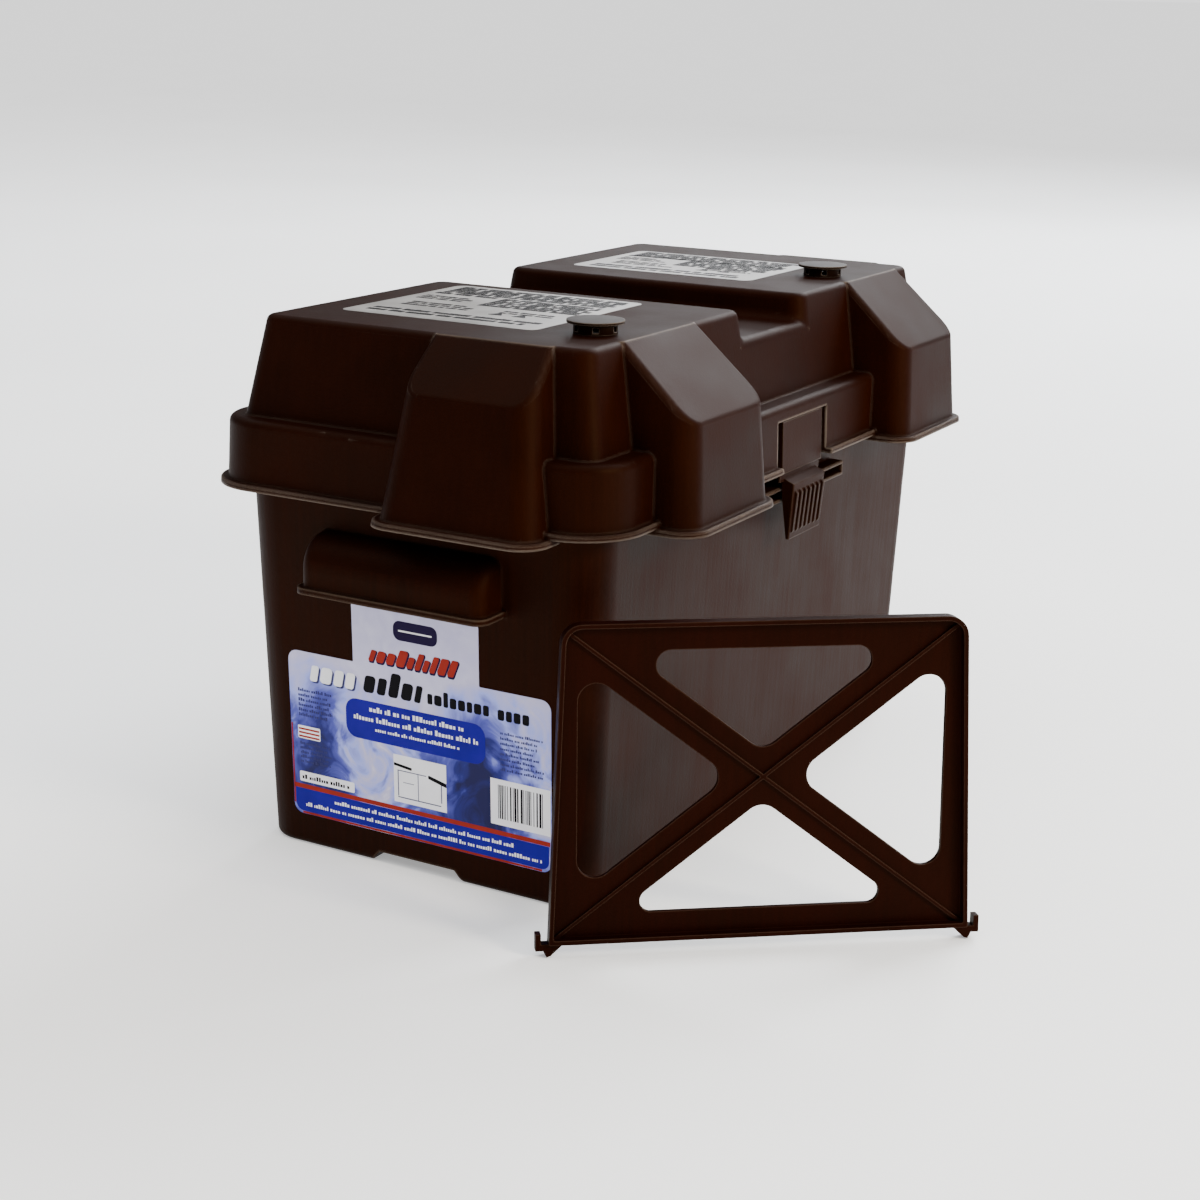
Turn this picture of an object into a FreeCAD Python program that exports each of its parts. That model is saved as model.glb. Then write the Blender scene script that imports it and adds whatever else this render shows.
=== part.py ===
"""Moulded battery box: a drafted tub, a lift-off lid with two snap latches, two vent caps,
three labels, and a loose X-braced divider standing beside the box.

Millimetres, +Z up. The origin is the centre of the tub's footprint on the ground.
The long axis is X. The front is -Y; the end that carries the large label is -X.
"""
import FreeCAD, Part
import math
import os

V = FreeCAD.Vector

# Tub
TUB_HALF_LENGTH = 183.5        # outside, at the ground
TUB_HALF_DEPTH = 89.5          # outside, at the ground
TUB_HEIGHT = 205.0
TUB_DRAFT = 0.0365             # outward lean of every wall, per unit of height
TUB_WALL = 3.0
TUB_CORNER_LOW = 17.0
TUB_CORNER_HIGH = 22.0
TUB_BASE_ROUND = 3.0

# Shallow cross of strap channels under the base; the four corner pads remain
CHANNEL_HALF_LOW = 26.0
CHANNEL_HALF_HIGH = 21.0
CHANNEL_DEPTH = 5.5

# Pairs of ribs inside the long walls that hold the divider upright
GUIDE_STATIONS = (91.0, 146.0)
GUIDE_GAP = 4.0
GUIDE_THICKNESS = 2.5
GUIDE_PROUD = 4.0
GUIDE_TOP = 188.0

# Lifting hood on each end wall
HOOD_HALF_WIDTH = 49.0
HOOD_REACH = 206.0
HOOD_TOP = 161.0
HOOD_BOTTOM = 134.0
HOOD_ROUND = 16.0
HOOD_WALL = 2.6
HOOD_END_ROUND = 6.0
HOOD_LIP = 2.0
HOOD_LIP_HEIGHT = 3.0

# Catch frame under each latch
CATCH_HALF_WIDTH = 60.0
CATCH_FRONT = 103.5
CATCH_LOW = 159.2
CATCH_HIGH = 166.8
CATCH_WALL = 1.6

# Lid: skirt round the tub, ledge, two raised decks and the valley between them
LID_WALL = 3.0
SKIRT_BASE = 176.5
SKIRT_LOW = (199.5, 106.5)     # half length, half depth
SKIRT_HIGH = (198.5, 105.5)
SKIRT_CORNER = 26.0
LEDGE = 208.5
LEDGE_ROUND = 3.5
DECK_LOW = (188.7, 94.2)       # at the ledge
DECK_HIGH = (181.0, 86.4)      # at the top
DECK_TOP = 254.7
DECK_CORNER = 8.0
DECK_ROUND = 3.5
VALLEY_HALF_LOW = 29.6         # extrapolated to the ledge
VALLEY_HALF_HIGH = 33.6
VALLEY_FLOOR = 241.0
VALLEY_ROUND = 5.0
VALLEY_FILLET = 5.0
VALLEY_CORE = 52.0
FLANGE_PROUD = 3.5
FLANGE_HEIGHT = 2.8

# Cable wings: half width, side draft, deck edge, knee (reach, height), reach at the bottom
FRONT_WING = (41.0, 5.5, DECK_HIGH[1], 122.7, 222.0, 126.0)
END_WING = (40.5, 10.0, DECK_HIGH[0], 204.7, 231.5, 216.0)
FRONT_WING_X = (-117.0, 127.5)
END_WING_Y = -38.5
WING_BASE = 173.8
WING_CORNER = 10.0
WING_ROUND = 3.0
WING_ROOT = 34.0

# Latch tongues in the middle of the skirt's long sides
TONGUE_HALF_WIDTH = 23.0
TONGUE_LOW = 170.5
TONGUE_HIGH = 200.6
TONGUE_THICKNESS = 2.6
GROOVE_LOW = 171.8
GROOVE_HIGH = 174.8
GROOVE_DEPTH = 1.4
SLOT_WIDTH = 6.0
ROOT_GAP = 0.4
TAB_HALF_WIDTH = 18.5
TAB_LOW = 141.5
TAB_SHELF = 169.6
TAB_REACH = 111.0
TAB_LEAN = 1.8
TAB_BACK = 104.3
TAB_RIBS = 7
TAB_RIB_PITCH = 5.2
TAB_RIB_WIDTH = 1.8
TAB_RIB_PROUD = 1.0

# Vent caps
VENTS = {"near": (-137.0, -64.5), "far": (109.5, -65.0)}
VENT_STEM_RADIUS = 8.0
VENT_HOLE_RADIUS = 8.1
VENT_BARB_RADIUS = 8.8
VENT_NECK_RADIUS = 10.0
VENT_NECK_HEIGHT = 4.8
VENT_CAP_RADIUS = 13.0
VENT_CAP_EDGE = 1.2
VENT_CAP_CROWN = 0.4
VENT_SLOTS = 6

# Labels
LABEL_THICKNESS = 0.25
LABEL_CORNER = 5.0
END_LABEL_Y = -2.0
END_LABEL_HALF = 72.0
END_LABEL_LOW = 16.0
END_LABEL_SHOULDER = 99.0
END_LABEL_TAB_HALF = 34.5
END_LABEL_TOP = 127.5
DECK_LABELS = {"near": (-149.0, -45.0, -40.0, 66.0), "far": (62.0, 144.0, -44.0, 64.0)}

# Divider, in its own frame: s across, h up as it stands, hooks at the bottom
DIVIDER_HALF_LOW = 93.0
DIVIDER_HALF_HIGH = 87.8
DIVIDER_LOW = 5.8
DIVIDER_HIGH = 146.0
DIVIDER_CORNER = 9.0
DIVIDER_PLATE = 2.4
DIVIDER_RIM_DEPTH = 7.0
DIVIDER_RIM_WIDTH = 2.0
DIVIDER_CROSS_HEIGHT = 76.9
DIVIDER_BRACE_HALF = 8.5
DIVIDER_BRACE_ANGLE = 37.5
DIVIDER_RIB_WIDTH = 1.6
DIVIDER_RIB_PROUD = 4.0
WINDOW_SIDE = 80.5
WINDOW_LOW = 17.7
WINDOW_HIGH = 133.4
WINDOW_CORNER = 6.5
WINDOW_APEX = 8.5
HOOK_OUT = 98.6
HOOK_FINGER = 2.4
HOOK_ARM_LOW = 2.9
HOOK_FINGER_TOP = 10.4
HOOK_THICKNESS = 5.0

# How the divider stands beside the box
DIVIDER_AT = (-169.8, -170.5)
DIVIDER_TURN = -52.1
DIVIDER_LEAN = 5.0

FAR_OUT = 400.0


def between(a, b, share):
    return a + (b - a) * share


def box(x0, x1, y0, y1, z0, z1):
    return Part.makeBox(x1 - x0, y1 - y0, z1 - z0, V(x0, y0, z0))


def mirrored(shape, normal):
    return shape.mirror(V(0, 0, 0), normal)


def rounded_rect(x0, x1, y0, y1, radius, z):
    """Level rectangle with round corners, as a closed wire."""
    corners = ((x1 - radius, y1 - radius), (x0 + radius, y1 - radius),
               (x0 + radius, y0 + radius), (x1 - radius, y0 + radius))
    arcs = []
    for quarter, (cx, cy) in enumerate(corners):
        angles = [math.radians(90 * quarter + step) for step in (0, 45, 90)]
        ends = [V(cx + radius * math.cos(a), cy + radius * math.sin(a), z) for a in angles]
        arcs.append(Part.Arc(*ends).toShape())
    edges = []
    for arc, following in zip(arcs, arcs[1:] + arcs[:1]):
        edges += [arc, Part.makeLine(arc.Vertexes[-1].Point, following.Vertexes[0].Point)]
    return Part.Wire(edges)


def rounded_outline(points, radii):
    """Closed wire in the XZ plane through the points, each corner rounded by its radius."""
    count = len(points)
    cuts = []
    for i in range(count):
        corner = V(points[i][0], 0, points[i][1])
        before = V(points[i - 1][0], 0, points[i - 1][1])
        after = V(points[(i + 1) % count][0], 0, points[(i + 1) % count][1])
        back = (before - corner).normalize()
        ahead = (after - corner).normalize()
        half = back.getAngle(ahead) / 2
        if radii[i] <= 0:
            cuts.append((corner, None, corner))
            continue
        reach = radii[i] / math.tan(half)
        middle = (back + ahead).normalize() * (radii[i] / math.sin(half) - radii[i])
        cuts.append((corner + back * reach, corner + middle, corner + ahead * reach))
    edges = []
    for i, (start, middle, end) in enumerate(cuts):
        if middle is not None:
            edges.append(Part.Arc(start, middle, end).toShape())
        edges.append(Part.makeLine(end, cuts[(i + 1) % count][0]))
    return Part.Wire(edges)


def plate(points, radii, y0, y1):
    """Flat plate whose outline lies in XZ, from y0 to y1."""
    face = Part.Face(rounded_outline(points, radii))
    face.translate(V(0, y0, 0))
    return face.extrude(V(0, y1 - y0, 0))


def prism_x(points, x0, x1):
    """Prism along X whose outline (y, z) is a polygon."""
    corners = [V(x0, y, z) for y, z in points]
    return Part.Face(Part.makePolygon(corners + corners[:1])).extrude(V(x1 - x0, 0, 0))


def level_edges(shape, z):
    return [e for e in shape.Edges
            if abs(e.BoundBox.ZMin - z) < 1e-4 and abs(e.BoundBox.ZMax - z) < 1e-4]


# ---------------------------------------------------------------- tub

def tub_half(z):
    return TUB_HALF_LENGTH + TUB_DRAFT * z, TUB_HALF_DEPTH + TUB_DRAFT * z


def tub_block(inset, z0, z1):
    """Solid drafted body of the tub, pulled in by inset."""
    wires = []
    for z in (z0, z1):
        half_x, half_y = tub_half(z)
        corner = between(TUB_CORNER_LOW, TUB_CORNER_HIGH, z / TUB_HEIGHT) - inset
        wires.append(rounded_rect(inset - half_x, half_x - inset, inset - half_y,
                                  half_y - inset, corner, z))
    return Part.makeLoft(wires, True, True)


def strap_channels(grow):
    """The two crossing channels under the base, grown by a wall thickness."""
    low, high = CHANNEL_HALF_LOW + grow, CHANNEL_HALF_HIGH + grow
    outline = [(-low, -1), (-low, 0), (-high, CHANNEL_DEPTH + grow),
               (high, CHANNEL_DEPTH + grow), (low, 0), (low, -1)]
    along_x = prism_x(outline, -FAR_OUT, FAR_OUT)
    along_y = along_x.copy()
    along_y.rotate(V(0, 0, 0), V(0, 0, 1), 90)
    return along_x.fuse(along_y)


def guide_ribs():
    """Upright rib pairs on the inside of both long walls."""
    bars = []
    for station in GUIDE_STATIONS:
        for side in (-1, 1):
            for offset in (-1, 1):
                x = side * station + offset * (GUIDE_GAP + GUIDE_THICKNESS) / 2
                bars.append(box(x - GUIDE_THICKNESS / 2, x + GUIDE_THICKNESS / 2,
                                -FAR_OUT, FAR_OUT, TUB_WALL, GUIDE_TOP))
    lining = tub_block(TUB_WALL, TUB_WALL, TUB_HEIGHT)
    lining = lining.cut(tub_block(TUB_WALL + GUIDE_PROUD, 0, TUB_HEIGHT))
    return lining.common(Part.makeCompound(bars))


def hood_profile(shrink, bottom):
    """Quarter-round side profile of the hood: (x outward, z)."""
    root = TUB_HALF_LENGTH - TUB_WALL / 2
    points = [(root, bottom), (HOOD_REACH - shrink, bottom),
              (HOOD_REACH - shrink, HOOD_TOP - shrink), (root, HOOD_TOP - shrink)]
    return points, [0, 0, HOOD_ROUND - shrink, 0]


def hood():
    """Lifting hood on the +X end: a rounded pelmet open underneath, with a lip."""
    points, radii = hood_profile(0, HOOD_BOTTOM)
    outer = plate(points, radii, -HOOD_HALF_WIDTH, HOOD_HALF_WIDTH)
    rims = [e for e in outer.Edges
            if abs(abs(e.BoundBox.YMin) - HOOD_HALF_WIDTH) < 1e-4 and e.BoundBox.YLength < 1e-4
            and e.BoundBox.XMax > TUB_HALF_LENGTH + 1 and e.BoundBox.ZMin > HOOD_BOTTOM - 1e-4
            and e.BoundBox.ZMax > HOOD_BOTTOM + 1]
    outer = outer.makeFillet(HOOD_END_ROUND, rims)
    lip = box(TUB_HALF_LENGTH, HOOD_REACH + HOOD_LIP, -HOOD_HALF_WIDTH - HOOD_LIP,
              HOOD_HALF_WIDTH + HOOD_LIP, HOOD_BOTTOM, HOOD_BOTTOM + HOOD_LIP_HEIGHT)
    uprights = [e for e in lip.Edges
                if e.BoundBox.ZLength > 1 and e.BoundBox.XMin > HOOD_REACH]
    lip = lip.makeFillet(HOOD_END_ROUND, uprights)
    points, radii = hood_profile(HOOD_WALL, HOOD_BOTTOM - 1)
    inside = plate(points, radii, HOOD_WALL - HOOD_HALF_WIDTH, HOOD_HALF_WIDTH - HOOD_WALL)
    return outer.fuse(lip).cut(inside)


def catch_frame():
    """Shallow frame on the front wall that the latch tongue hangs over."""
    block = box(-CATCH_HALF_WIDTH, CATCH_HALF_WIDTH, -CATCH_FRONT, -TUB_HALF_DEPTH,
                CATCH_LOW, CATCH_HIGH)
    pocket = box(CATCH_WALL - CATCH_HALF_WIDTH, CATCH_HALF_WIDTH - CATCH_WALL,
                 -CATCH_FRONT - 1, -TUB_HALF_DEPTH, CATCH_LOW + CATCH_WALL,
                 CATCH_HIGH - CATCH_WALL)
    front = [e for e in block.Edges
             if e.BoundBox.YLength < 1e-4 and e.BoundBox.YMin < 1 - CATCH_FRONT]
    return block.makeFillet(0.8, front).cut(pocket)


def make_tub():
    body = tub_block(0, 0, TUB_HEIGHT)
    body = body.makeFillet(TUB_BASE_ROUND, level_edges(body, 0))
    extras = [hood(), mirrored(hood(), V(1, 0, 0)),
              catch_frame(), mirrored(catch_frame(), V(0, 1, 0))]
    fittings = [extra.cut(tub_block(0, 0, TUB_HEIGHT)) for extra in extras]
    bay = tub_block(TUB_WALL, TUB_WALL, TUB_HEIGHT + 1).cut(strap_channels(TUB_WALL))
    body = body.cut(bay).cut(strap_channels(0))
    return body.multiFuse(fittings + [guide_ribs()]).removeSplitter()


# ---------------------------------------------------------------- lid

def skirt_half(z):
    share = (z - SKIRT_BASE) / (LEDGE - SKIRT_BASE)
    return tuple(between(a, b, share) for a, b in zip(SKIRT_LOW, SKIRT_HIGH))


def deck_half(z):
    share = (z - LEDGE) / (DECK_TOP - LEDGE)
    half_x, half_y = (between(a, b, share) for a, b in zip(DECK_LOW, DECK_HIGH))
    return half_x, half_y, between(VALLEY_HALF_LOW, VALLEY_HALF_HIGH, share)


def skirt_block(inset, low):
    wires = []
    for z in (low, LEDGE - inset):
        half_x, half_y = skirt_half(z)
        wires.append(rounded_rect(inset - half_x, half_x - inset, inset - half_y,
                                  half_y - inset, SKIRT_CORNER - inset, z))
    return Part.makeLoft(wires, True, True)


def deck_block(inset, low):
    """The +X deck, round at all four upright corners."""
    wires = []
    for z in (low, DECK_TOP - inset):
        half_x, half_y, valley = deck_half(z)
        wires.append(rounded_rect(valley + inset, half_x - inset, inset - half_y,
                                  half_y - inset, DECK_CORNER - inset, z))
    return Part.makeLoft(wires, True, True)


def valley_block(inset, low):
    """Lower bridge between the decks; its top is the valley floor."""
    top = VALLEY_FLOOR - inset
    outline = []
    for z, sign in ((low, -1), (top, -1), (top, 1), (low, 1)):
        outline.append((sign * (deck_half(z)[1] - inset), z))
    return prism_x(outline, -VALLEY_CORE, VALLEY_CORE)


def wing_block(wing, inset, low, rounded):
    """Cable wing reaching out towards -Y, centred on X = 0."""
    half_width, side_draft, edge, knee_reach, knee_z, low_reach = wing
    slope = (low_reach - knee_reach) / (knee_z - WING_BASE)
    top = DECK_TOP + WING_ROOT
    wires = []
    for z in (low, top):
        reach = low_reach - slope * (z - WING_BASE) - inset
        half = half_width - inset - side_draft * (z - WING_BASE) / (DECK_TOP - WING_BASE)
        corner = WING_CORNER - inset
        wires.append(rounded_rect(-half, half, -reach, WING_ROOT - edge, corner, z))
    block = Part.makeLoft(wires, True, True)

    fall = V(0, edge - knee_reach, knee_z - DECK_TOP).normalize()
    outward = V(0, fall.z, -fall.y)
    start = V(0, -edge, DECK_TOP) - outward * inset
    corners = [start - fall * FAR_OUT, start + fall * FAR_OUT]
    corners += [corners[1] + outward * FAR_OUT, corners[0] + outward * FAR_OUT]
    block = block.cut(prism_x([(c.y, c.z) for c in corners], -FAR_OUT, FAR_OUT))
    if rounded:
        rims = [e for e in block.Edges
                if all(abs((p - start).dot(outward)) < 1e-3 for p in e.discretize(3))
                and e.BoundBox.ZMin < DECK_TOP]
        block = block.makeFillet(WING_ROUND, rims)
    return block.common(box(-FAR_OUT, FAR_OUT, -FAR_OUT, FAR_OUT, low, DECK_TOP - inset))


def wing_blocks(inset, low, rounded):
    """All four wings: two on the front, one on each end."""
    fronts = []
    for x in FRONT_WING_X:
        front = wing_block(FRONT_WING, inset, low, rounded)
        front.translate(V(x, 0, 0))
        fronts.append(front)
    side = wing_block(END_WING, inset, low, rounded)
    side.rotate(V(0, 0, 0), V(0, 0, 1), -90)
    side.translate(V(0, END_WING_Y, 0))
    return fronts + [side, mirrored(side, V(1, 0, 0))]


def lid_form(inset, skirt_low, wing_low, rounded):
    """Closed outer form of the lid, pulled in by inset."""
    root = LEDGE - LID_WALL - 3
    skirt = skirt_block(inset, skirt_low)
    deck = deck_block(inset, root)
    valley = valley_block(inset, root)
    if rounded:
        skirt = skirt.makeFillet(LEDGE_ROUND, level_edges(skirt, LEDGE - inset))
        deck = deck.makeFillet(DECK_ROUND, level_edges(deck, DECK_TOP - inset))
        long_edges = [e for e in level_edges(valley, VALLEY_FLOOR - inset)
                      if e.BoundBox.XLength > 1]
        valley = valley.makeFillet(VALLEY_ROUND, long_edges)
    decks = deck.multiFuse([mirrored(deck, V(1, 0, 0)), valley])
    if rounded:
        creases = [e for e in level_edges(decks, VALLEY_FLOOR)
                   if e.BoundBox.YLength > DECK_HIGH[1] and abs(e.BoundBox.XMax) < VALLEY_HALF_HIGH]
        decks = decks.makeFillet(VALLEY_FILLET, creases)
    return skirt.multiFuse([decks] + wing_blocks(inset, wing_low, rounded))


def flange_band(block, base):
    """Level band round a block, from base up by the flange's height, soft along its top."""
    band = box(-FAR_OUT, FAR_OUT, -FAR_OUT, FAR_OUT, base, base + FLANGE_HEIGHT)
    flange = block.common(band).removeSplitter()
    return flange.makeFillet(FLANGE_HEIGHT * 0.35, level_edges(flange, base + FLANGE_HEIGHT))


def make_lid():
    shell = lid_form(0, SKIRT_BASE, WING_BASE, True)
    bands = [flange_band(skirt_block(-FLANGE_PROUD, SKIRT_BASE), SKIRT_BASE)]
    bands += [flange_band(wing, WING_BASE)
              for wing in wing_blocks(-FLANGE_PROUD, WING_BASE, False)]
    hollow = lid_form(LID_WALL, WING_BASE - 1, WING_BASE - 1, False)
    lid = shell.multiFuse(bands).cut(hollow)
    notch_half = TONGUE_HALF_WIDTH + SLOT_WIDTH
    for side in (-1, 1):
        y0, y1 = sorted((side * (TAB_BACK - 8), side * (TAB_REACH + 8)))
        lid = lid.cut(box(-notch_half, notch_half, y0, y1, SKIRT_BASE - 1, TONGUE_HIGH + ROOT_GAP))
    for x, y in VENTS.values():
        lid = lid.cut(Part.makeCylinder(VENT_HOLE_RADIUS, 20, V(x, y, DECK_TOP - 10)))
    return lid.removeSplitter()


# ---------------------------------------------------------------- small moving parts

def make_latch():
    """Front latch: a flexing tongue, a shadow groove, and a ribbed thumb tab below it."""
    outer_low = skirt_half(TONGUE_LOW)[1]
    outer_high = skirt_half(TONGUE_HIGH)[1]
    tongue = prism_x([(-outer_low, TONGUE_LOW), (-outer_high, TONGUE_HIGH),
                      (TONGUE_THICKNESS - outer_high, TONGUE_HIGH),
                      (TONGUE_THICKNESS - outer_low, TONGUE_LOW)],
                     -TONGUE_HALF_WIDTH, TONGUE_HALF_WIDTH)
    groove_back = outer_low - GROOVE_DEPTH
    tongue = tongue.cut(box(-FAR_OUT, FAR_OUT, -outer_low - 1, -groove_back,
                            TONGUE_LOW - 1, GROOVE_HIGH))
    tab_front_low = TAB_REACH - TAB_LEAN
    tab = prism_x([(-groove_back, GROOVE_LOW), (-TAB_REACH, TAB_SHELF),
                   (-tab_front_low, TAB_LOW), (1.6 - tab_front_low, TAB_LOW),
                   (-TAB_BACK, TAB_SHELF - 5), (-TAB_BACK, GROOVE_LOW)],
                  -TAB_HALF_WIDTH, TAB_HALF_WIDTH)
    creases = [e for e in tab.Edges if e.BoundBox.YMin < -tab_front_low - 0.5
               and e.BoundBox.ZMax < TONGUE_LOW]
    tab = tab.makeFillet(0.7, creases)
    ribs = []
    for i in range(TAB_RIBS):
        x = (i - (TAB_RIBS - 1) / 2) * TAB_RIB_PITCH
        rib = prism_x([(-TAB_REACH + 0.6, TAB_SHELF - 3), (-TAB_REACH - TAB_RIB_PROUD, TAB_SHELF - 5),
                       (-tab_front_low - TAB_RIB_PROUD, TAB_LOW + 4),
                       (-tab_front_low + 0.6, TAB_LOW + 2)],
                      x - TAB_RIB_WIDTH / 2, x + TAB_RIB_WIDTH / 2)
        ribs.append(rib)
    nose_top = CATCH_HIGH - CATCH_WALL - 0.5
    nose = prism_x([(-TAB_BACK - 0.5, nose_top), (-TAB_BACK + 0.4, nose_top),
                    (-TAB_BACK + 0.4, nose_top - 1.5), (-TAB_BACK - 0.5, nose_top - 5)],
                   -TAB_HALF_WIDTH + 3, TAB_HALF_WIDTH - 3)
    return tongue.multiFuse([tab, nose] + ribs).removeSplitter()


def make_vent(x, y):
    """Mushroom vent cap pressed into the deck, hollow, and slotted round its neck."""
    under = DECK_TOP - LID_WALL
    cap_low = DECK_TOP + VENT_NECK_HEIGHT
    cap_height = VENT_CAP_EDGE + VENT_CAP_CROWN
    dome = (VENT_CAP_RADIUS ** 2 + VENT_CAP_CROWN ** 2) / (2 * VENT_CAP_CROWN)
    ball = Part.makeSphere(dome, V(0, 0, cap_low + cap_height - dome))
    head = Part.makeCylinder(VENT_CAP_RADIUS, cap_height + 1, V(0, 0, cap_low)).common(ball)
    barb = Part.makeCone(VENT_STEM_RADIUS - 1.2, VENT_BARB_RADIUS, 3.4, V(0, 0, under - 4))
    stem = Part.makeCylinder(VENT_STEM_RADIUS, 3.6 + LID_WALL, V(0, 0, under - 3.6))
    neck = Part.makeCylinder(VENT_NECK_RADIUS, VENT_NECK_HEIGHT, V(0, 0, DECK_TOP))
    cap = head.multiFuse([barb, stem, neck])
    bore_top = cap_low - 0.6
    cap = cap.cut(Part.makeCylinder(VENT_STEM_RADIUS - 2.5, bore_top - under + 5, V(0, 0, under - 5)))
    for i in range(VENT_SLOTS):
        slot = box(0, VENT_NECK_RADIUS + 2, -1.3, 1.3, DECK_TOP + 1.2, cap_low - 1.2)
        slot.rotate(V(0, 0, 0), V(0, 0, 1), 360 / VENT_SLOTS * (i + 0.5))
        cap = cap.cut(slot)
    cap = cap.removeSplitter()
    cap.translate(V(x, y, 0))
    return cap


# ---------------------------------------------------------------- labels

def make_end_label():
    """Label on the -X end wall: a broad body with a narrower tab above it."""
    tab, half = END_LABEL_TAB_HALF, END_LABEL_HALF
    points = [(-half, END_LABEL_LOW), (half, END_LABEL_LOW), (half, END_LABEL_SHOULDER),
              (tab, END_LABEL_SHOULDER), (tab, END_LABEL_TOP), (-tab, END_LABEL_TOP),
              (-tab, END_LABEL_SHOULDER), (-half, END_LABEL_SHOULDER)]
    radii = [LABEL_CORNER] * 3 + [0, 0, 0, 0] + [LABEL_CORNER]
    label = plate(points, radii, -LABEL_THICKNESS, 0)
    label.rotate(V(0, 0, 0), V(1, 0, 0), math.degrees(math.atan(TUB_DRAFT)))
    label.rotate(V(0, 0, 0), V(0, 0, 1), -90)
    label.translate(V(-TUB_HALF_LENGTH, END_LABEL_Y, 0))
    return label


def make_deck_label(x0, x1, y0, y1):
    outline = rounded_rect(x0, x1, y0, y1, LABEL_CORNER, DECK_TOP)
    label = Part.Face(outline).extrude(V(0, 0, LABEL_THICKNESS))
    for x, y in VENTS.values():
        label = label.cut(Part.makeCylinder(VENT_NECK_RADIUS + 1, 4, V(x, y, DECK_TOP - 1)))
    return label


# ---------------------------------------------------------------- divider

def divider_windows():
    """Outlines of the four openings between the crossed braces."""
    lean = math.radians(DIVIDER_BRACE_ANGLE)
    tip_up = DIVIDER_BRACE_HALF / math.cos(lean)
    tip_out = DIVIDER_BRACE_HALF / math.sin(lean)
    centre = DIVIDER_CROSS_HEIGHT
    outlines = []
    for level, sign in ((WINDOW_HIGH, 1), (WINDOW_LOW, -1)):
        tip = centre + sign * tip_up
        half = abs(level - tip) / math.tan(lean)
        corner = WINDOW_CORNER if sign > 0 else WINDOW_CORNER - 1.3
        outlines.append(([(0, tip), (half, level), (-half, level)], [WINDOW_APEX, corner, corner]))
    half = (WINDOW_SIDE - tip_out) * math.tan(lean)
    for side in (-1, 1):
        outlines.append(([(side * tip_out, centre), (side * WINDOW_SIDE, centre + half),
                          (side * WINDOW_SIDE, centre - half)],
                         [WINDOW_APEX, WINDOW_CORNER + 1.5, WINDOW_CORNER + 1.5]))
    return outlines


def brace_rib(side):
    """Thin rib along the middle of one brace, on the face towards -Y."""
    reach = FAR_OUT / 2
    rib = box(-reach, reach, -DIVIDER_RIB_PROUD, 0, -DIVIDER_RIB_WIDTH / 2,
              DIVIDER_RIB_WIDTH / 2)
    rib.rotate(V(0, 0, 0), V(0, 1, 0), side * DIVIDER_BRACE_ANGLE)
    rib.translate(V(0, 0, DIVIDER_CROSS_HEIGHT))
    return rib


def divider_hook(side):
    """Hook at a lower corner: an arm outward, a finger up and a small foot below."""
    arm_root = DIVIDER_HALF_LOW - 6.5
    points = [(side * arm_root, DIVIDER_LOW + 1), (side * arm_root, DIVIDER_LOW),
              (side * (DIVIDER_HALF_LOW - 1), 0.6), (side * (DIVIDER_HALF_LOW + 0.8), 0),
              (side * (DIVIDER_HALF_LOW + 2.2), HOOK_ARM_LOW), (side * HOOK_OUT, HOOK_ARM_LOW),
              (side * HOOK_OUT, HOOK_FINGER_TOP),
              (side * (HOOK_OUT - HOOK_FINGER), HOOK_FINGER_TOP),
              (side * (HOOK_OUT - HOOK_FINGER), DIVIDER_LOW),
              (side * DIVIDER_HALF_LOW, DIVIDER_LOW), (side * DIVIDER_HALF_LOW, DIVIDER_LOW + 1)]
    return plate(points, [0] * len(points), -HOOK_THICKNESS, 0)


def make_divider():
    outline = [(-DIVIDER_HALF_LOW, DIVIDER_LOW), (DIVIDER_HALF_LOW, DIVIDER_LOW),
               (DIVIDER_HALF_HIGH, DIVIDER_HIGH), (-DIVIDER_HALF_HIGH, DIVIDER_HIGH)]
    corners = [0.8, 0.8, DIVIDER_CORNER, DIVIDER_CORNER]
    rim = DIVIDER_RIM_WIDTH
    inner = [(-DIVIDER_HALF_LOW + rim, DIVIDER_LOW + rim), (DIVIDER_HALF_LOW - rim, DIVIDER_LOW + rim),
             (DIVIDER_HALF_HIGH - rim, DIVIDER_HIGH - rim),
             (rim - DIVIDER_HALF_HIGH, DIVIDER_HIGH - rim)]
    inner_corners = [1.0, 1.0, DIVIDER_CORNER - rim, DIVIDER_CORNER - rim]
    envelope = plate(outline, corners, -DIVIDER_RIM_DEPTH, 0)
    well = plate(inner, inner_corners, -DIVIDER_RIM_DEPTH - 1, -DIVIDER_PLATE)
    body = envelope.cut(well)
    ribs = [brace_rib(side).common(envelope) for side in (-1, 1)]
    body = body.multiFuse(ribs + [divider_hook(side) for side in (-1, 1)])
    for points, radii in divider_windows():
        body = body.cut(plate(points, radii, -DIVIDER_RIM_DEPTH - 1, 1))
    body = body.removeSplitter()
    body.rotate(V(0, 0, 0), V(1, 0, 0), -DIVIDER_LEAN)
    body.rotate(V(0, 0, 0), V(0, 0, 1), DIVIDER_TURN)
    body.translate(V(DIVIDER_AT[0], DIVIDER_AT[1], -body.BoundBox.ZMin))
    return body


# ---------------------------------------------------------------- output

def make_parts():
    latch = make_latch()
    parts = {"tub": make_tub(), "lid": make_lid(), "latch_front": latch,
             "latch_rear": mirrored(latch, V(0, 1, 0)), "divider": make_divider(),
             "label_end": make_end_label()}
    for name, (x, y) in VENTS.items():
        parts["vent_cap_" + name] = make_vent(x, y)
    for name, bounds in DECK_LABELS.items():
        parts["label_deck_" + name] = make_deck_label(*bounds)
    return parts


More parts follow.
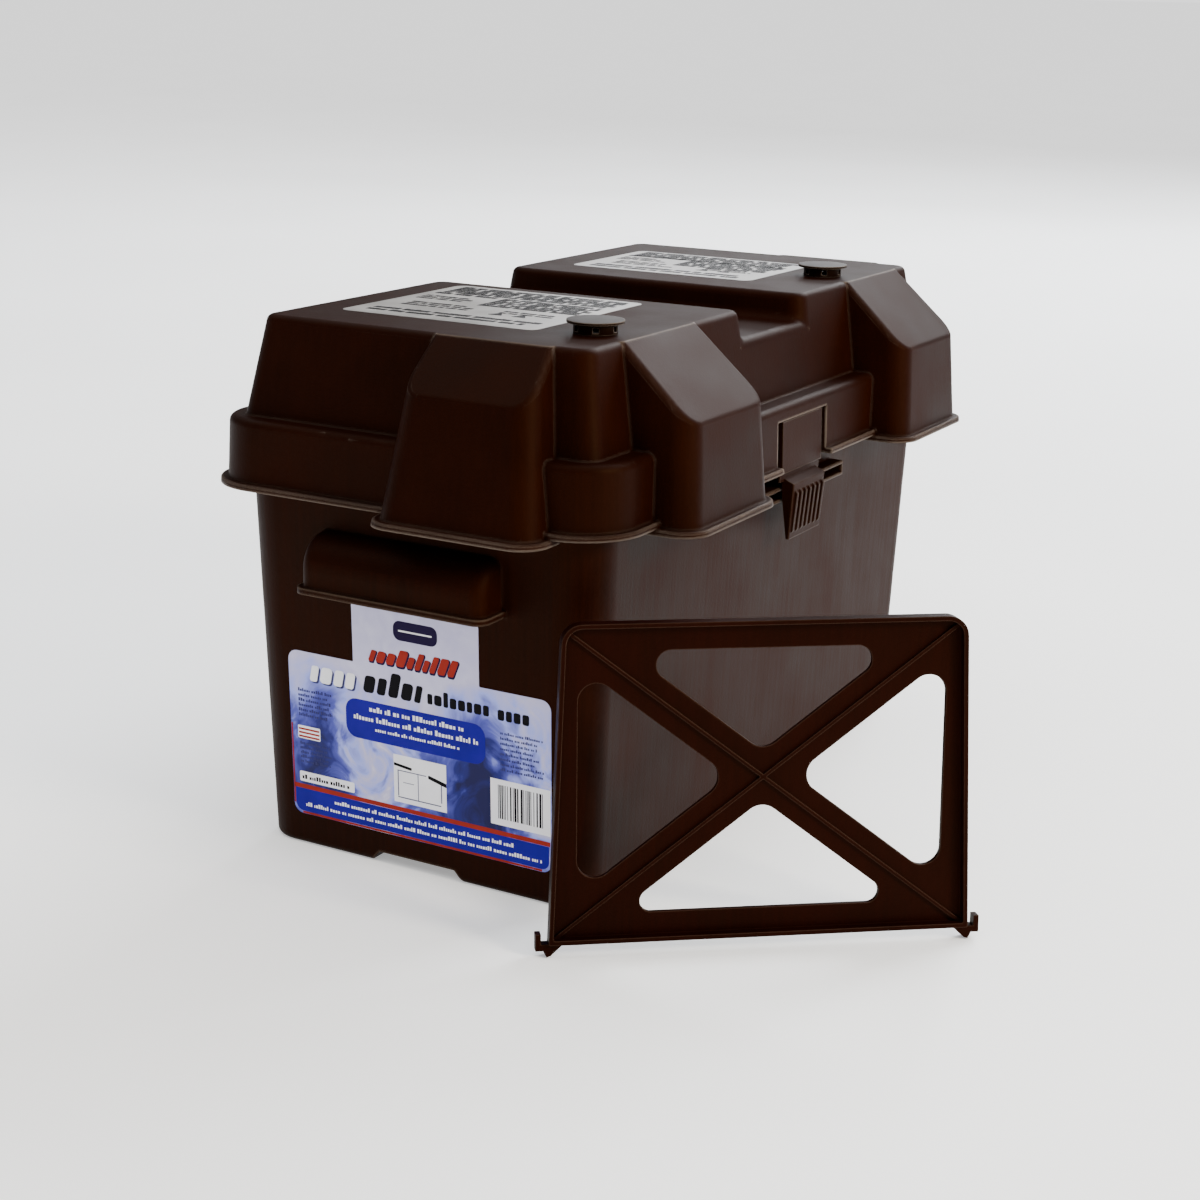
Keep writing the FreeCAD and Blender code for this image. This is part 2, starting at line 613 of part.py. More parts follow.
os.makedirs("parts", exist_ok=True)
for node, solid in make_parts().items():
    solid.exportStep("parts/" + node + ".step")
    size = solid.BoundBox
    print("%-16s solids %d valid %s volume %.0f  x %.1f..%.1f y %.1f..%.1f z %.1f..%.1f" % (
        node, len(solid.Solids), solid.isValid(), solid.Volume, size.XMin, size.XMax,
        size.YMin, size.YMax, size.ZMin, size.ZMax))
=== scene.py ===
"""Battery box: finishes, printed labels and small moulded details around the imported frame.

Metres, +Z up, in the frame of the CAD model. The box's long axis is X, its front is -Y,
and the end that carries the large label is -X.
"""
import math
import random

import bmesh
import bpy
from mathutils import Matrix, Vector, noise


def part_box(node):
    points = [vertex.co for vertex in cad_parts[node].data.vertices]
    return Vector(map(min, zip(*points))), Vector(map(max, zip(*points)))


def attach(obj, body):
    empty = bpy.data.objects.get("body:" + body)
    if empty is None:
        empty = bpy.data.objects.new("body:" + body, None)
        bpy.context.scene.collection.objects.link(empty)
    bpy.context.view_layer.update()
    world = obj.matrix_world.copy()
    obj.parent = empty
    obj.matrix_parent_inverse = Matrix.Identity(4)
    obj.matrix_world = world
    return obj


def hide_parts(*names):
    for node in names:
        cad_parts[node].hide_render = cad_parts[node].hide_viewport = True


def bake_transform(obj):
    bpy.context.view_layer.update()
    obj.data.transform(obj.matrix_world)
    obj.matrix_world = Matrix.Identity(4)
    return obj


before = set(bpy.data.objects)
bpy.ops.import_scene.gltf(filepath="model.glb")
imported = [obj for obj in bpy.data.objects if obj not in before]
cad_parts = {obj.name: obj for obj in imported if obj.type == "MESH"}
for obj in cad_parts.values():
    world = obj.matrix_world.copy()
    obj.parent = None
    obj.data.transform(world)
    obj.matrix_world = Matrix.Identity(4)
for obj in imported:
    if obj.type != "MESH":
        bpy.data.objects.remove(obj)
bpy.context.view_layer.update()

MM = 0.001

# Camera: place in metres, heading from +X towards +Y, tilt above level, roll, lens and film
CAMERA_PLACE = (-0.9526, -0.5232, 0.4011)
CAMERA_HEADING = math.radians(29.08)
CAMERA_TILT = math.radians(-16.04)
CAMERA_ROLL = math.radians(1.23)
CAMERA_LENS = 63.9
CAMERA_FILM = 36.0

# Print sits on the vinyl, and the vinyl on the plastic
WALL_DRAFT = 0.0365            # outward lean of the tub's walls, per unit of height
VINYL = 0.25 * MM
INK = 0.03 * MM

# End label, in millimetres: across the end wall as seen, and up from the ground
END_CENTRE = 2.0
END_HALF = 72.0
END_TAB_HALF = 34.5
END_FOOT = 16.0
END_SHOULDER = 99.0
END_TOP = 127.4
END_CORNER = 5.0
END_TAB_CORNER = 0.6

# Deck labels, in millimetres
DECK_CORNER = 5.0
VENT_CLEAR = 15.0              # from a vent cap's centre, where no print lies
PRINT_TALL = 3.9               # height and pitch of the dense rows of print
PRINT_PITCH = 4.5
SYMBOL_WIDTH = 8.0
SYMBOL_HEIGHT = 7.0

# Web at the root of a latch tongue, in millimetres
TONGUE_BEHIND_TAB = 6.35       # from the tab's outermost face back to the tongue's face
WEB_STEPS = 24
WEB_BELOW = 0.7                # how far it reaches over the tongue, and over the lid
WEB_ABOVE = 0.9
WEB_SWELL = 0.10

FLOOR_RADIUS = 400             # metres, so that the floor's edge lies at the horizon


# ---------------------------------------------------------------- small tools

def material(name):
    """New node material; returns it with its tree and its main shader."""
    made = bpy.data.materials.new(name)
    made.use_nodes = True
    tree = made.node_tree
    return made, tree, tree.nodes["Principled BSDF"]


def add(tree, kind, **values):
    """New node; keywords set its properties, or its inputs where the keyword starts with in_."""
    node = tree.nodes.new(kind)
    for key, value in values.items():
        if key.startswith("in_"):
            node.inputs[key[3:].replace("_", " ")].default_value = value
        else:
            setattr(node, key, value)
    return node


def wire(tree, source, target):
    tree.links.new(source, target)


def math_node(tree, operation, first, second):
    """Math node whose two inputs are sockets or numbers."""
    node = add(tree, "ShaderNodeMath", operation=operation)
    for index, value in enumerate((first, second)):
        if isinstance(value, (int, float)):
            node.inputs[index].default_value = value
        else:
            wire(tree, value, node.inputs[index])
    return node.outputs[0]


def ramp(tree, source, stops):
    """Colour ramp fed by source; stops are (position, colour)."""
    node = add(tree, "ShaderNodeValToRGB")
    elements = node.color_ramp.elements
    while len(elements) < len(stops):
        elements.new(0.5)
    for element, (position, colour) in zip(elements, stops):
        element.position = position
        element.color = (*colour, 1)
    wire(tree, source, node.inputs["Fac"])
    return node.outputs["Color"]


def grey(level):
    return (level, level, level)


def mixed(tree, factor, first, second):
    """Colour mix of two sockets or colours."""
    node = add(tree, "ShaderNodeMix", data_type="RGBA")
    wanted = ((node.inputs["Factor"], factor), (node.inputs[6], first), (node.inputs[7], second))
    for socket, value in wanted:
        if isinstance(value, bpy.types.NodeSocket):
            wire(tree, value, socket)
        elif isinstance(value, (int, float)):
            socket.default_value = value
        else:
            socket.default_value = (*value, 1)
    return node.outputs[2]


def stretched_noise(tree, place, stretch, scale, detail=3.0):
    """Noise over coordinates stretched by a different factor along each axis."""
    mapping = add(tree, "ShaderNodeMapping")
    mapping.inputs["Scale"].default_value = stretch
    wire(tree, place, mapping.inputs["Vector"])
    texture = add(tree, "ShaderNodeTexNoise", in_Scale=scale, in_Detail=detail)
    wire(tree, mapping.outputs["Vector"], texture.inputs["Vector"])
    return texture.outputs["Fac"]


# ---------------------------------------------------------------- materials

def moulded_plastic(name, colour, edge_wear_and_highlight, rough=0.5, grain=1.0, streaks=0.7, edge=2.0 * MM, shine=0.05):
    """Dark moulded plastic: pebbled grain, soft mottling, drag streaks up the walls, and rubbed edges
    lightened partly as wear, partly as a painted highlight.
    """
    made, tree, shader = material(name)
    place = add(tree, "ShaderNodeTexCoord").outputs["Object"]
    geometry = add(tree, "ShaderNodeNewGeometry")

    mottle = stretched_noise(tree, place, (1, 1, 1), 22, 6)
    streak = stretched_noise(tree, place, (420, 420, 6), 1, 4)
    pebble = add(tree, "ShaderNodeTexVoronoi", feature="SMOOTH_F1", in_Scale=950)
    wire(tree, place, pebble.inputs["Vector"])
    fine = stretched_noise(tree, place, (1, 1, 1), 2400, 2)

    # Streaks run only up the steep faces
    facing = add(tree, "ShaderNodeSeparateXYZ")
    wire(tree, geometry.outputs["Normal"], facing.inputs[0])
    slope = math_node(tree, "ABSOLUTE", facing.outputs["Z"], 0)
    wall = math_node(tree, "LESS_THAN", slope, 0.3)

    # Wear and a painted edge highlight show where the rounded normal leaves the face's own, on edges with
    # open space around
    bevel = add(tree, "ShaderNodeBevel", samples=4, in_Radius=edge)
    turned = add(tree, "ShaderNodeVectorMath", operation="DOT_PRODUCT")
    wire(tree, bevel.outputs["Normal"], turned.inputs[0])
    wire(tree, geometry.outputs["Normal"], turned.inputs[1])
    corner = math_node(tree, "SUBTRACT", 1.0, turned.outputs["Value"])
    patchy = math_node(tree, "MULTIPLY", corner, math_node(tree, "ADD", mottle, 0.35))
    open_edge = add(tree, "ShaderNodeAmbientOcclusion", samples=4, only_local=True, in_Distance=3 * MM)
    exposed = ramp(tree, open_edge.outputs["AO"], [(0.72, grey(0)), (0.93, grey(1))])
    rubbed_and_highlight = math_node(tree, "MULTIPLY", ramp(tree, patchy, [(0.012, grey(0)), (0.10, grey(1))]), exposed)

    tone = ramp(tree, mottle, [(0.32, tuple(c * 0.78 for c in colour)),
                               (0.68, tuple(c * 1.22 for c in colour))])
    lined = ramp(tree, streak, [(0.42, grey(0)), (0.62, grey(1))])
    line_share = math_node(tree, "MULTIPLY", lined, math_node(tree, "MULTIPLY", wall, 0.45 * streaks))
    tone = mixed(tree, line_share, tone, tuple(c * 1.9 for c in colour))
    # The edge colour mixed in here is partly wear, partly a painted highlight on rounded edges
    rub_and_highlight_share = math_node(tree, "MULTIPLY", rubbed_and_highlight, 0.8)
    tone = mixed(tree, rub_and_highlight_share, tone, edge_wear_and_highlight)
    wire(tree, tone, shader.inputs["Base Color"])

    gloss = math_node(tree, "MULTIPLY", mottle, 0.22)
    gloss = math_node(tree, "ADD", gloss, rough - 0.11)
    gloss = math_node(tree, "SUBTRACT", gloss, math_node(tree, "MULTIPLY", rubbed_and_highlight, 0.12))
    gloss = math_node(tree, "ADD", gloss, math_node(tree, "MULTIPLY", line_share, 0.12))
    wire(tree, gloss, shader.inputs["Roughness"])

    height = math_node(tree, "ADD", pebble.outputs["Distance"], math_node(tree, "MULTIPLY", fine, 0.5))
    height = math_node(tree, "ADD", height, math_node(tree, "MULTIPLY", line_share, 0.8))
    bump = add(tree, "ShaderNodeBump", in_Strength=0.35 * grain, in_Distance=0.12 * MM)
    wire(tree, height, bump.inputs["Height"])
    wire(tree, bevel.outputs["Normal"], bump.inputs["Normal"])
    wire(tree, bump.outputs["Normal"], shader.inputs["Normal"])
    shader.inputs["Specular IOR Level"].default_value = shine
    shader.inputs["Specular Tint"].default_value = (1.0, 0.6, 0.3, 1)
    return made


def printed_film(name, colour, rough=0.42, fade=0.12):
    """Printed ink on vinyl: a solid colour with dot mottle, slight fading and soft gloss."""
    made, tree, shader = material(name)
    place = add(tree, "ShaderNodeTexCoord").outputs["Object"]
    cloud = stretched_noise(tree, place, (1, 1, 1), 60, 5)
    dots = stretched_noise(tree, place, (1, 1, 1), 1800, 1)
    tone = ramp(tree, cloud, [(0.3, tuple(c * (1 - fade) for c in colour)),
                              (0.7, tuple(min(1, c * (1 + fade)) for c in colour))])
    speck = math_node(tree, "MULTIPLY", dots, fade)
    tone = mixed(tree, speck, tone, tuple(min(1, c * 1.3 + 0.004) for c in colour))
    wire(tree, tone, shader.inputs["Base Color"])
    wire(tree, math_node(tree, "ADD", math_node(tree, "MULTIPLY", cloud, 0.16), rough - 0.08),
         shader.inputs["Roughness"])
    bump = add(tree, "ShaderNodeBump", in_Strength=0.12, in_Distance=0.05 * MM)
    wire(tree, cloud, bump.inputs["Height"])
    wire(tree, bump.outputs["Normal"], shader.inputs["Normal"])
    shader.inputs["Specular IOR Level"].default_value = 0.04
    return made


def picture_vinyl(name):
    """Pale vinyl with a printed picture of splashing water: pale at the top, deep blue below."""
    made, tree, shader = material(name)
    place = add(tree, "ShaderNodeTexCoord").outputs["Object"]
    parts = add(tree, "ShaderNodeSeparateXYZ")
    wire(tree, place, parts.inputs[0])
    drift = stretched_noise(tree, place, (1, 1, 0.6), 28, 4)
    sway = math_node(tree, "MULTIPLY", math_node(tree, "SUBTRACT", drift, 0.5), 0.05)

    def share_along(source, start, end):
        span = add(tree, "ShaderNodeMapRange")
        span.inputs["From Min"].default_value = start
        span.inputs["From Max"].default_value = end
        wire(tree, math_node(tree, "ADD", source, sway), span.inputs["Value"])
        return span.outputs["Result"]

    across = share_along(parts.outputs["Y"], 0.072, -0.074)
    column = ramp(tree, across, [(0.0, grey(0.42)), (0.14, grey(0.16)), (0.27, grey(0.62)),
                                 (0.38, grey(0.74)), (0.52, grey(0.44)), (0.66, grey(0.06)),
                                 (0.78, grey(0.10)), (0.86, grey(0.5)), (1.0, grey(0.62))])
    rise = share_along(parts.outputs["Z"], 0.066, 0.096)
    light = mixed(tree, rise, column, grey(0.86))
    splash = add(tree, "ShaderNodeTexNoise", in_Scale=48, in_Detail=8, in_Distortion=1.8)
    wire(tree, place, splash.inputs["Vector"])
    flecks = math_node(tree, "MULTIPLY", math_node(tree, "SUBTRACT", splash.outputs["Fac"], 0.5), 1.25)
    calm = math_node(tree, "SUBTRACT", 1.0, math_node(tree, "MULTIPLY", rise, 0.85))
    light = math_node(tree, "ADD", light, math_node(tree, "MULTIPLY", flecks, calm))
    tone = ramp(tree, light, [(0.0, (0.005, 0.005, 0.06)), (0.22, (0.012, 0.015, 0.16)),
                              (0.45, (0.08, 0.09, 0.43)), (0.66, (0.33, 0.38, 0.85)),
                              (0.84, (0.52, 0.50, 0.72)), (1.0, (0.76, 0.76, 0.9))])
    wire(tree, tone, shader.inputs["Base Color"])
    wire(tree, math_node(tree, "ADD", math_node(tree, "MULTIPLY", drift, 0.15), 0.25),
         shader.inputs["Roughness"])
    bump = add(tree, "ShaderNodeBump", in_Strength=0.15, in_Distance=0.1 * MM)
    wire(tree, drift, bump.inputs["Height"])
    wire(tree, bump.outputs["Normal"], shader.inputs["Normal"])
    shader.inputs["Specular IOR Level"].default_value = 0.15
    return made


def brushed_silver(name):
    """Silver label film: faintly brushed, slightly clouded by handling."""
    made, tree, shader = material(name)
    place = add(tree, "ShaderNodeTexCoord").outputs["Object"]
    brush = stretched_noise(tree, place, (20, 900, 20), 1, 4)
    cloud = stretched_noise(tree, place, (1, 1, 1), 45, 5)
    tone = ramp(tree, cloud, [(0.3, (0.25, 0.24, 0.23)), (0.7, (0.38, 0.365, 0.35))])
    wire(tree, tone, shader.inputs["Base Color"])
    shader.inputs["Metallic"].default_value = 0.55
    wire(tree, math_node(tree, "ADD", math_node(tree, "MULTIPLY", cloud, 0.25), 0.25),
         shader.inputs["Roughness"])
    bump = add(tree, "ShaderNodeBump", in_Strength=0.2, in_Distance=0.05 * MM)
    wire(tree, brush, bump.inputs["Height"])
    wire(tree, bump.outputs["Normal"], shader.inputs["Normal"])
    return made


def pale_floor(name):
    """Pale studio paper, faintly clouded."""
    made, tree, shader = material(name)
    place = add(tree, "ShaderNodeTexCoord").outputs["Object"]
    cloud = stretched_noise(tree, place, (1, 1, 1), 3, 3)
    tone = ramp(tree, cloud, [(0.3, grey(0.86)), (0.7, grey(0.9))])
    wire(tree, tone, shader.inputs["Base Color"])
    shader.inputs["Roughness"].default_value = 0.7
    shader.inputs["Emission Color"].default_value = (1, 1, 1, 1)
    shader.inputs["Emission Strength"].default_value = 0.37
    return made


BROWN_BLACK = (0.0092, 0.0014, 0.0003)
# Edge colour of the lid and caps: partly wear, partly a painted highlight on rounded edges; the other
# plastics get darker edge colours of the same kind
WORN_AND_HIGHLIGHT_BROWN = (0.21, 0.165, 0.13)
PLASTIC = moulded_plastic("plastic_box", BROWN_BLACK, (0.11, 0.078, 0.055))
LID_PLASTIC = moulded_plastic("plastic_lid", BROWN_BLACK, WORN_AND_HIGHLIGHT_BROWN, streaks=0.25, shine=0.042)
LATCH_PLASTIC = moulded_plastic("plastic_latch", BROWN_BLACK, (0.075, 0.052, 0.037), streaks=0.25,
                                edge=0.8 * MM)
CAP_PLASTIC = moulded_plastic("plastic_cap", (0.006, 0.0012, 0.0005), WORN_AND_HIGHLIGHT_BROWN, rough=0.4,
                              grain=0.6, streaks=0.0, edge=0.8 * MM)
DIVIDER_PLASTIC = moulded_plastic("plastic_divider", (0.0075, 0.0007, 0.0003), (0.055, 0.03, 0.02),
                                  rough=0.45, grain=0.8, streaks=0.4, edge=0.8 * MM)
PICTURE = picture_vinyl("label_picture")
SILVER = brushed_silver("label_silver")
INK_BLUE = printed_film("ink_blue", (0.016, 0.006, 0.23))
INK_NAVY = printed_film("ink_navy", (0.012, 0.006, 0.035))
INK_RED = printed_film("ink_red", (0.27, 0.022, 0.014))
INK_BLACK = printed_film("ink_black", (0.004, 0.0035, 0.005), fade=0.05)
INK_WHITE = printed_film("ink_white", (0.86, 0.86, 0.9), fade=0.04)
INK_SLATE = printed_film("ink_slate", (0.035, 0.035, 0.12))


# ---------------------------------------------------------------- outlines and plates

def rounded(corners, steps=5):
    """Points of a closed outline; each corner is (u, v, radius) and is rounded by an arc."""
    points = []
    count = len(corners)
    for index, (u, v, radius) in enumerate(corners):
        here = Vector((u, v))
        before = (Vector(corners[index - 1][:2]) - here).normalized()
        after = (Vector(corners[(index + 1) % count][:2]) - here).normalized()
        if radius <= 0:
            points.append(here)
            continue
        half = before.angle(after) / 2
        start = here + before * (radius / math.tan(half))
        centre = here + (before + after).normalized() * (radius / math.sin(half))
        arm = start - centre
        turn = math.pi - 2 * half
        if before.x * after.y - before.y * after.x > 0:
            turn = -turn
        for step in range(steps + 1):
            points.append(centre + Matrix.Rotation(turn * step / steps, 2) @ arm)
    return points


def bar(left, low, right, high, radius=0.0):
    """Outline of an upright rectangle, with rounded corners if asked."""
    return rounded([(left, low, radius), (right, low, radius), (right, high, radius),
                    (left, high, radius)])


def new_piece(name, mesh_source, finish, body):
    """Object from a bmesh, with its finish and the body it rides on."""
    bmesh.ops.recalc_face_normals(mesh_source, faces=mesh_source.faces)
    mesh = bpy.data.meshes.new(name)
    mesh_source.to_mesh(mesh)
    mesh_source.free()
    piece = bpy.data.objects.new(name, mesh)
    bpy.context.scene.collection.objects.link(piece)
    mesh.materials.append(finish)
    if body:
        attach(piece, body)
    return piece


def add_plate(target, outline, place, low, high):
    """Closed thin plate on a surface: place(u, v, height) gives a point above that surface."""
    rings = [[target.verts.new(place(p.x, p.y, h)) for p in outline] for h in (low, high)]
    count = len(outline)
    target.faces.new(list(reversed(rings[0])))
    target.faces.new(rings[1])
    for i in range(count):
        j = (i + 1) % count
        target.faces.new((rings[0][i], rings[0][j], rings[1][j], rings[1][i]))


def print_marks(name, outlines, place, layer, finish, body):
    """One piece of ink made of many flat marks; layer counts up from the vinyl."""
    made = bmesh.new()
    low = VINYL + INK * layer
    for outline in outlines:
        add_plate(made, outline, place, low - INK, low + INK)
    return new_piece(name, made, finish, body)


def small_print(rng, left, right, base, height, heavy=False):
    """A line of uneven ticks that reads as small print from afar, and holds no letters."""
    tops = (0.85, 0.92, 1.0) if heavy else (0.62, 0.62, 0.7, 1.0)
    gap = height * (0.1 if heavy else 0.2)
    narrow, wide = (0.42, 0.72) if heavy else (0.3, 0.62)
    marks = []
    u = left
    while u < right:
        for _ in range(rng.randint(2, 8)):
            width = height * rng.uniform(narrow, wide)
            if u + width > right:
                return marks
            top = base + height * rng.choice(tops)
            marks.append(bar(u, base, u + width, top))
            u += width + gap
        u += height * 0.45
    return marks


def big_marks(rng, left, right, base, height, lean):
    """Row of bold rounded marks, each with its own width and height; they hold no letters."""
    marks = []
    u = left
    while u < right - height * 0.25:
        width = min(height * rng.uniform(0.34, 0.62), right - u)
        tall = height * rng.choice((0.7, 0.7, 1.0))
        radius = min(width, tall) * 0.28
        shift = lean * tall
        marks.append(rounded([(u, base, radius), (u + width, base, radius),
                              (u + width + shift, base + tall, radius), (u + shift, base + tall, radius)]))
        u += width + height * 0.13
    return marks


def shifted(outlines, right, down, grow):
    """Copies of outlines moved, and grown about their middles; used as a drop shadow."""
    moved = []
    for outline in outlines:
        middle = sum(outline, Vector((0, 0))) / len(outline)
        moved.append([middle + (p - middle) * grow + Vector((right, -down)) for p in outline])
    return moved


def print_block(rng, left, right, top, rows, height, pitch, ragged=0.2, heavy=False):
    """Rows of small print under each other, each with its own length."""
    marks = []
    for row in range(rows):
        end = right - (right - left) * rng.uniform(0, ragged)
        marks += small_print(rng, left, end, top - row * pitch - height, height, heavy)
    return marks


# ---------------------------------------------------------------- end label

LABEL_LOW, LABEL_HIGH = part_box("label_end")
LABEL_MIDDLE = (LABEL_LOW.y + LABEL_HIGH.y) / 2


def on_end_wall(u, v, height):
    """Point on the -X end wall: u to the right as seen, v up, both in mm; height off the wall."""
    z = v * MM
    wall = LABEL_LOW.x + VINYL + WALL_DRAFT * (LABEL_HIGH.z - z)
    return Vector((wall - height, LABEL_MIDDLE - (u - END_CENTRE) * MM, z))


def label_sheet(name, outline, place, finish, body, node, cell, waviness):
    """Vinyl sheet cut to an outline, in place of a CAD label.

    It is divided into cells, thinner at its rim, with faint waves where it lies over the grain.
    """
    flat = bmesh.new()
    flat.faces.new([flat.verts.new((p.x, p.y, 0)) for p in outline])
    for axis in range(2):
        values = [p[axis] for p in outline]
        steps = int((max(values) - min(values)) / cell)
        for step in range(1, steps):
            at = [0, 0, 0]
            at[axis] = min(values) + (max(values) - min(values)) * step / steps
            normal = [0, 0, 0]
            normal[axis] = 1
            bmesh.ops.bisect_plane(flat, geom=flat.verts[:] + flat.edges[:] + flat.faces[:],
                                   plane_co=at, plane_no=normal)
    top = {}
    made = bmesh.new()
    for vert in flat.verts:
        wave = noise.noise(Vector((vert.co.x * 0.05, vert.co.y * 0.05, 3.0)))
        wave += 0.5 * noise.noise(Vector((vert.co.x * 0.17, vert.co.y * 0.17, 9.0)))
        rim = any(edge.is_boundary for edge in vert.link_edges)
        lift = VINYL * (0.72 if rim else 1.0) + (0 if rim else waviness * abs(wave))
        top[vert] = made.verts.new(place(vert.co.x, vert.co.y, lift))
    under = {vert: made.verts.new(place(vert.co.x, vert.co.y, 0)) for vert in flat.verts}
    for face in flat.faces:
        made.faces.new([top[v] for v in face.verts])
        made.faces.new([under[v] for v in reversed(face.verts)])
    for edge in flat.edges:
        if edge.is_boundary:
            a, b = edge.verts
            made.faces.new((under[a], under[b], top[b], top[a]))
    flat.free()
    piece = new_piece(name, made, finish, body)
    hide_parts(node)
    return piece


def make_end_label():
    """Large printed label: picture vinyl under layers of ink, none of it letters or a real mark."""
    rng = random.Random(31)
    left, right = END_CENTRE - END_HALF, END_CENTRE + END_HALF
    tab_left, tab_right = END_CENTRE - END_TAB_HALF, END_CENTRE + END_TAB_HALF
    outline = rounded([(left, END_FOOT, END_CORNER), (right, END_FOOT, END_CORNER),
                       (right, END_SHOULDER, END_CORNER), (tab_right, END_SHOULDER, END_TAB_CORNER),
                       (tab_right, END_TOP, END_TAB_CORNER), (tab_left, END_TOP, END_TAB_CORNER),
                       (tab_left, END_SHOULDER, END_TAB_CORNER), (left, END_SHOULDER, END_CORNER)])
    label_sheet("end_label_vinyl", outline, on_end_wall, PICTURE, "tub",
                "label_end", 3.0, 0.0)

    def ink(name, outlines, layer, finish):
        print_marks(name, outlines, on_end_wall, layer, finish, "tub")

    # Band along the foot, border lines, and the panel in the middle
    band = rounded([(left + 1.2, 17.4, 4), (right - 1.2, 17.4, 4), (right - 1.2, 29, 0),
                    (left + 1.2, 29, 0)])
    ink("end_label_band", [band], 1, INK_BLUE)
    ink("end_label_border", [bar(left + 0.6, 29.2, right - 0.6, 31.4),
                             bar(left + 5, 16.2, right - 5, 17.2),
                             bar(left + 0.3, 21, left + 1.0, 62)], 2, INK_RED)
    ink("end_label_panel", [bar(-37.5, 61.5, 39.5, 81, 6)], 1, INK_BLUE)
    # Plain badge and bold marks on the tab, then the title row
    ink("end_label_badge", [bar(-9.4, 113.8, 14.6, 123.2, 3.5)], 1, INK_NAVY)
    ink("end_label_badge_line", [bar(-6.5, 118.1, 11.7, 118.9, 0.3)], 2, INK_WHITE)
    emblem = big_marks(rng, -24, 25.5, 101, 8.2, 0.4)
    ink("end_label_emblem_shadow", shifted(emblem, 0.5, 0.5, 1.12), 1, INK_NAVY)
    ink("end_label_emblem", emblem, 2, INK_RED)
    pale = big_marks(rng, -58, -29, 85.0, 11.5, 0.22)
    ink("end_label_title_shadow", shifted(pale, 0.9, 0.7, 1.0), 1, INK_SLATE)
    ink("end_label_title_pale", pale, 2, INK_WHITE)
    dark = big_marks(rng, -27.5, 4.5, 85.2, 12, 0.22) + big_marks(rng, 8.6, 42.3, 85.8, 7.2, 0)
    dark += big_marks(rng, 46.3, 62.8, 85.2, 7.2, 0)
    ink("end_label_title_dark", dark, 1, INK_BLACK)
    # White insets: a drawing of a strapped box, a strip and a field of bars
    ink("end_label_inset", [bar(-11.2, 33.8, 18, 57.5), bar(-66, 32.8, -34, 38.0, 0.8),
                            bar(42, 34.2, 73.6, 56.6)], 1, INK_WHITE)
    strap = [rounded([(-11, 53.4, 0), (-1, 52.2, 0.5), (-1, 50.8, 0.5), (-11, 52.0, 0)]),
             rounded([(8, 50.6, 0.5), (18, 48.2, 0), (18, 46.2, 0), (8, 48.8, 0.5)])]
    ink("end_label_inset_strap", strap, 2, INK_BLACK)
    box_lines = [bar(-9, 49.6, 7, 50.0), bar(-9, 37, -8.5, 49.6), bar(15, 38, 15.5, 47),
                 bar(2.2, 36.2, 2.6, 49.6), bar(-9, 36.2, 15, 36.7), bar(-6, 44, 0, 44.3)]
    ink("end_label_inset_lines", box_lines, 2, INK_SLATE)

    code = []
    u = 46.0
    while u < 70.5:
        width = rng.choice((0.35, 0.35, 0.7, 1.05))
        code.append(bar(u, 37.4, u + width, 54))
        u += width + rng.choice((0.4, 0.4, 0.8, 1.2))
    ink("end_label_bars", code, 2, INK_BLACK)

    # Small print down both sides, a striped patch, and pale print on the panel and the band
    dark = print_block(rng, -65, -45, 80.5, 6, 1.6, 2.5) + print_block(rng, -65, -46, 53.4, 5, 1.5, 2.3)
    dark += print_block(rng, 47.5, 72, 80, 8, 1.4, 2.5, 0.3)
    ink("end_label_small_print", dark, 1, INK_SLATE)
    ink("end_label_patch", [bar(-66, 55, -53, 61.5, 0.6)], 1, INK_WHITE)
    ink("end_label_patch_bars", [bar(-65.5, 55.6 + 1.9 * row, -53.5, 56.5 + 1.9 * row) for row in range(3)],
        2, INK_RED)
    pale = small_print(rng, -24, 28, 76.0, 2.6) + small_print(rng, -33, 36, 71.0, 2.6)
    pale += small_print(rng, -21, 26, 66.6, 1.8)
    pale += small_print(rng, -46, 55, 24.6, 2.0) + small_print(rng, -63, 70, 20.2, 2.0)
    ink("end_label_pale_print", pale, 2, INK_WHITE)
    ink("end_label_strip_print", small_print(rng, -64.5, -36, 34.2, 2.2), 2, INK_BLACK)


# ---------------------------------------------------------------- deck labels

